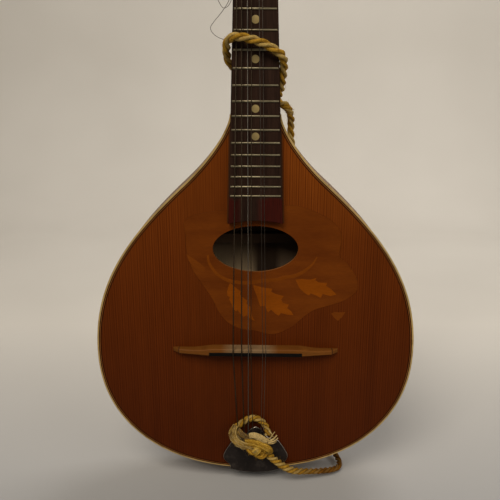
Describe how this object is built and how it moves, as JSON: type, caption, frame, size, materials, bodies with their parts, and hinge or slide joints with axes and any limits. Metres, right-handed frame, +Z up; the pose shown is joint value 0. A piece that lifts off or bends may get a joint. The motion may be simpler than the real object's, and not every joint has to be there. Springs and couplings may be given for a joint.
{
  "type": "mandolin",
  "caption": "Flat-backed pear-shaped mandolin with an oval soundhole, floating bridge, geared tuners, sheet-metal tailpiece and a rope strap.",
  "frame": {"origin": "middle of the tail end of the body, where a stand carries it, half way through the body's depth", "axes": "+Z up the neck to the headstock, -Y out of the soundboard, +X to the treble side"},
  "size_m": [0.27, 0.0705, 0.589],
  "materials": {
    "soundboard": "amber varnished spruce, gloss",
    "inlay": "varnished marquetry veneer",
    "body_wood": "varnished maple, gloss",
    "binding": "aged cream edge binding",
    "inner_wood": "bare spruce",
    "neck_wood": "stained hardwood, satin",
    "rosewood": "oiled rosewood",
    "ebony": "polished black wood",
    "bridge_wood": "varnished light wood",
    "bone": "bone",
    "tailpiece_metal": "dark tarnished sheet metal, bright worn edges",
    "string_wire": "plain and wound steel",
    "frets": "nickel silver",
    "pearl": "pearl",
    "tuner_metal": "worn nickel plate",
    "button": "aged ivoroid",
    "rope": "twisted two-tone cord"
  },
  "bodies": {
    "instrument": {"soundboard": "soundboard", "pickguard_inlay": "inlay", "back_plate": "body_wood", "left_rim": "body_wood", "right_rim": "body_wood", "top_binding": "binding", "back_binding": "binding", "neck": "neck_wood", "heel_cap": "ebony", "fingerboard": "rosewood", "headstock_veneer": "rosewood", "nut": "bone", "tailpiece": "tailpiece_metal", "end_pin": "ebony", "tuner_plate_treble": "tuner_metal", "tuner_plate_bass": "tuner_metal", "broken_string": "string_wire", "neck_block": "inner_wood", "tail_block": "inner_wood", "top_brace_upper": "inner_wood", "top_brace_lower": "inner_wood", "back_brace_upper": "inner_wood", "back_brace_lower": "inner_wood", "top_lining_left": "inner_wood", "top_lining_right": "inner_wood", "back_lining_left": "inner_wood", "back_lining_right": "inner_wood", "string_1": "string_wire", "string_2": "string_wire", "string_3": "string_wire", "string_4": "string_wire", "string_5": "string_wire", "string_6": "string_wire", "strap_rope": "rope", "strap_neck_loop": "rope", "strap_tail_loop": "rope", "strap_frayed_end": "rope", "strap_tail_knot": "rope", "strap_neck_knot": "rope"},
    "bridge": {"bridge_base": "bridge_wood", "bridge_saddle": "ebony"},
    "button_1": {"tuner_button_1": "button"},
    "post_1": {"string_post_1": "tuner_metal"},
    "button_2": {"tuner_button_2": "button"},
    "post_2": {"string_post_2": "tuner_metal"},
    "button_3": {"tuner_button_3": "button"},
    "post_3": {"string_post_3": "tuner_metal"},
    "button_4": {"tuner_button_4": "button"},
    "post_4": {"string_post_4": "tuner_metal"},
    "button_5": {"tuner_button_5": "button"},
    "post_5": {"string_post_5": "tuner_metal"},
    "button_6": {"tuner_button_6": "button"},
    "post_6": {"string_post_6": "tuner_metal"},
    "button_7": {"tuner_button_7": "button"},
    "post_7": {"string_post_7": "tuner_metal"},
    "button_8": {"tuner_button_8": "button"},
    "post_8": {"string_post_8": "tuner_metal"}
  },
  "joints": [
    {"name": "bridge_slide", "type": "slide", "parent": "instrument", "child": "bridge", "axis": [0, 0, 1], "range_m": [0, 0.01]},
    {"name": "button_1_turn", "type": "hinge", "parent": "instrument", "child": "button_1", "pos_m": [-0.03, -0.00127, 0.48899], "axis": [-1, 0, 0], "continuous": true},
    {"name": "post_1_turn", "type": "hinge", "parent": "instrument", "child": "post_1", "pos_m": [-0.0145, -0.01801, 0.48478], "axis": [0, 0.9781, -0.2079], "continuous": true},
    {"name": "button_2_turn", "type": "hinge", "parent": "instrument", "child": "button_2", "pos_m": [-0.03, 0.00351, 0.51148], "axis": [-1, 0, 0], "continuous": true},
    {"name": "post_2_turn", "type": "hinge", "parent": "instrument", "child": "post_2", "pos_m": [-0.0145, -0.01323, 0.50727], "axis": [0, 0.9781, -0.2079], "continuous": true},
    {"name": "button_3_turn", "type": "hinge", "parent": "instrument", "child": "button_3", "pos_m": [-0.03, 0.0083, 0.53398], "axis": [-1, 0, 0], "continuous": true},
    {"name": "post_3_turn", "type": "hinge", "parent": "instrument", "child": "post_3", "pos_m": [-0.0145, -0.00845, 0.52977], "axis": [0, 0.9781, -0.2079], "continuous": true},
    {"name": "button_4_turn", "type": "hinge", "parent": "instrument", "child": "button_4", "pos_m": [-0.03, 0.01308, 0.55648], "axis": [-1, 0, 0], "continuous": true},
    {"name": "post_4_turn", "type": "hinge", "parent": "instrument", "child": "post_4", "pos_m": [-0.0145, -0.00366, 0.55227], "axis": [0, 0.9781, -0.2079], "continuous": true},
    {"name": "button_5_turn", "type": "hinge", "parent": "instrument", "child": "button_5", "pos_m": [0.03, -0.00127, 0.48899], "axis": [1, 0, 0], "continuous": true},
    {"name": "post_5_turn", "type": "hinge", "parent": "instrument", "child": "post_5", "pos_m": [0.0145, -0.01801, 0.48478], "axis": [0, 0.9781, -0.2079], "continuous": true},
    {"name": "button_6_turn", "type": "hinge", "parent": "instrument", "child": "button_6", "pos_m": [0.03, 0.00351, 0.51148], "axis": [1, 0, 0], "continuous": true},
    {"name": "post_6_turn", "type": "hinge", "parent": "instrument", "child": "post_6", "pos_m": [0.0145, -0.01323, 0.50727], "axis": [0, 0.9781, -0.2079], "continuous": true},
    {"name": "button_7_turn", "type": "hinge", "parent": "instrument", "child": "button_7", "pos_m": [0.03, 0.0083, 0.53398], "axis": [1, 0, 0], "continuous": true},
    {"name": "post_7_turn", "type": "hinge", "parent": "instrument", "child": "post_7", "pos_m": [0.0145, -0.00845, 0.52977], "axis": [0, 0.9781, -0.2079], "continuous": true},
    {"name": "button_8_turn", "type": "hinge", "parent": "instrument", "child": "button_8", "pos_m": [0.03, 0.01308, 0.55648], "axis": [1, 0, 0], "continuous": true},
    {"name": "post_8_turn", "type": "hinge", "parent": "instrument", "child": "post_8", "pos_m": [0.0145, -0.00366, 0.55227], "axis": [0, 0.9781, -0.2079], "continuous": true}
  ],
  "couplings": [
    {"joint": "post_1_turn", "follows": "button_1_turn", "ratio": 0.071429},
    {"joint": "post_2_turn", "follows": "button_2_turn", "ratio": 0.071429},
    {"joint": "post_3_turn", "follows": "button_3_turn", "ratio": 0.071429},
    {"joint": "post_4_turn", "follows": "button_4_turn", "ratio": 0.071429},
    {"joint": "post_5_turn", "follows": "button_5_turn", "ratio": 0.071429},
    {"joint": "post_6_turn", "follows": "button_6_turn", "ratio": 0.071429},
    {"joint": "post_7_turn", "follows": "button_7_turn", "ratio": 0.071429},
    {"joint": "post_8_turn", "follows": "button_8_turn", "ratio": 0.071429}
  ]
}
